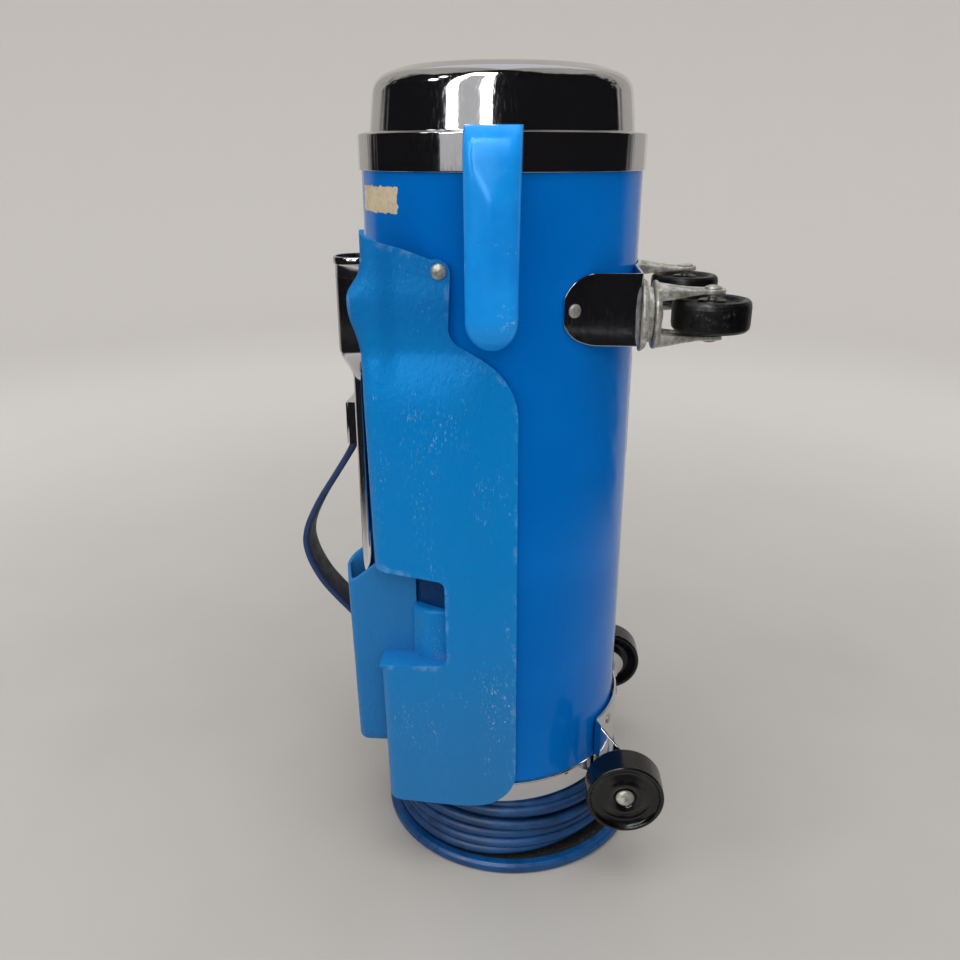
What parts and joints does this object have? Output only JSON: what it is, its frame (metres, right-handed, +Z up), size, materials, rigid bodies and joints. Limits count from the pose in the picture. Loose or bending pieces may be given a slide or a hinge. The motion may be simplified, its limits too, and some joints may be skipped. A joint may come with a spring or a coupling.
{
  "type": "tank vacuum cleaner",
  "caption": "Tall steel tank vacuum cleaner standing on end, with chrome lid, moulded side caddy, crevice tool, strap handle, casters and wheels on one side, and a wound mains cord.",
  "frame": {"origin": "on the floor under the tank's axis, in the plane of the base disc's underside", "axes": "+Z up along the tank as it stands; +X towards the casters and wheels, -X towards the strap; -Y is the side with the tool caddy"},
  "size_m": [0.3343, 0.2792, 0.6076],
  "materials": {
    "tank_paint": "gloss blue enamel on steel, small scratches",
    "chrome": "bright chrome plate with light wear",
    "zinc_steel": "dull zinc plate",
    "black_steel": "black painted sheet",
    "base_rubber": "black rubber, dusty",
    "bumper_vinyl": "blue vinyl edge trim",
    "cord_vinyl": "blue vinyl cord jacket",
    "brass": "bare brass",
    "card": "plain card",
    "bag_paper": "creased kraft paper",
    "foam": "open cell foam",
    "fan_aluminium": "spun aluminium",
    "lamination": "stacked steel laminations",
    "copper": "enamelled copper",
    "black_plastic": "black moulded plastic",
    "strap_vinyl": "blue vinyl outside, near black inside",
    "caddy_plastic": "moulded plastic with a fine leather grain, scuffed",
    "grip_plastic": "smooth moulded plastic",
    "wheel_plastic": "black moulded plastic, dusty tread",
    "label_paper": "blank label"
  },
  "bodies": {
    "housing": {"canister_shell": "tank_paint", "bottom_pan": "chrome", "exhaust_core": "black_steel", "base_disc": "base_rubber", "base_bumper": "bumper_vinyl", "base_screws": "zinc_steel", "cord_winding": "cord_vinyl", "cord_tail": "cord_vinyl", "strain_relief": "cord_vinyl", "plug_body": "cord_vinyl", "plug_blades": "brass", "bag_ring": "black_steel", "bag_collar": "card", "dust_bag": "bag_paper", "motor_filter": "foam", "motor_deck": "black_steel", "motor_mount_ring": "base_rubber", "fan_housing": "fan_aluminium", "vane_plate": "fan_aluminium", "field_core": "lamination", "field_windings": "copper", "motor_frame": "fan_aluminium", "motor_bearings": "zinc_steel", "brush_holders": "brass", "switch_body": "zinc_steel", "caster_bracket": "chrome", "caster_bracket_rivets": "zinc_steel", "caster_races": "zinc_steel", "rear_bracket": "chrome", "rear_bracket_rivets": "zinc_steel", "axle_bolts": "zinc_steel", "carry_strap": "strap_vinyl", "strap_clips": "chrome", "strap_spacers": "black_plastic", "strap_screws": "zinc_steel", "caddy_panel": "caddy_plastic", "caddy_screws": "zinc_steel", "tool_pocket": "caddy_plastic", "labels": "label_paper"},
    "lid": {"lid_shell": "chrome", "lid_gasket": "base_rubber", "hose_collar": "chrome", "latch_lugs": "chrome", "latch_pins": "zinc_steel"},
    "left_latch": {"left_latch_handle": "grip_plastic", "left_clamp_pad": "base_rubber"},
    "right_latch": {"right_latch_handle": "grip_plastic", "right_clamp_pad": "base_rubber"},
    "left_caster": {"left_caster_fork": "zinc_steel"},
    "right_caster": {"right_caster_fork": "zinc_steel"},
    "left_caster_roller": {"left_caster_wheel": "wheel_plastic"},
    "right_caster_roller": {"right_caster_wheel": "wheel_plastic"},
    "left_wheel": {"left_rear_wheel": "wheel_plastic"},
    "right_wheel": {"right_rear_wheel": "wheel_plastic"},
    "rotor": {"motor_shaft": "zinc_steel", "armature": "lamination", "commutator": "copper", "fan_wheels": "fan_aluminium"},
    "toggle": {"switch_toggle": "chrome"},
    "tool": {"crevice_tool": "chrome"}
  },
  "joints": [
    {"name": "lid_lift", "type": "slide", "parent": "housing", "child": "lid", "axis": [0, 0, 1], "range_m": [0, 0.1]},
    {"name": "left_latch_hinge", "type": "hinge", "parent": "lid", "child": "left_latch", "pos_m": [0, -0.1195, 0.551], "axis": [-1, 0, 0], "range_deg": [0, 95]},
    {"name": "right_latch_hinge", "type": "hinge", "parent": "lid", "child": "right_latch", "pos_m": [0, 0.1195, 0.551], "axis": [1, 0, 0], "range_deg": [0, 95]},
    {"name": "left_caster_swivel", "type": "hinge", "parent": "housing", "child": "left_caster", "pos_m": [0.1, -0.068, 0.448], "axis": [1, 0, 0], "continuous": true},
    {"name": "right_caster_swivel", "type": "hinge", "parent": "housing", "child": "right_caster", "pos_m": [0.1, 0.068, 0.448], "axis": [1, 0, 0], "continuous": true},
    {"name": "left_caster_spin", "type": "hinge", "parent": "left_caster", "child": "left_caster_roller", "pos_m": [0.1455, -0.0626, 0.448], "axis": [0, 0, 1], "continuous": true},
    {"name": "right_caster_spin", "type": "hinge", "parent": "right_caster", "child": "right_caster_roller", "pos_m": [0.1455, 0.0626, 0.448], "axis": [0, 0, 1], "continuous": true},
    {"name": "left_wheel_spin", "type": "hinge", "parent": "housing", "child": "left_wheel", "pos_m": [0.1045, -0.09925, 0.0804], "axis": [0, 1, 0], "continuous": true},
    {"name": "right_wheel_spin", "type": "hinge", "parent": "housing", "child": "right_wheel", "pos_m": [0.1045, 0.09925, 0.0804], "axis": [0, 1, 0], "continuous": true},
    {"name": "rotor_spin", "type": "hinge", "parent": "housing", "child": "rotor", "pos_m": [0, 0, 0.17], "axis": [0, 0, 1], "continuous": true},
    {"name": "toggle_tip", "type": "hinge", "parent": "housing", "child": "toggle", "pos_m": [0, 0.104, 0.165], "axis": [1, 0, 0], "range_deg": [0, 24]},
    {"name": "tool_pull", "type": "slide", "parent": "housing", "child": "tool", "axis": [0, 0, 1], "range_m": [0, 0.27]}
  ]
}
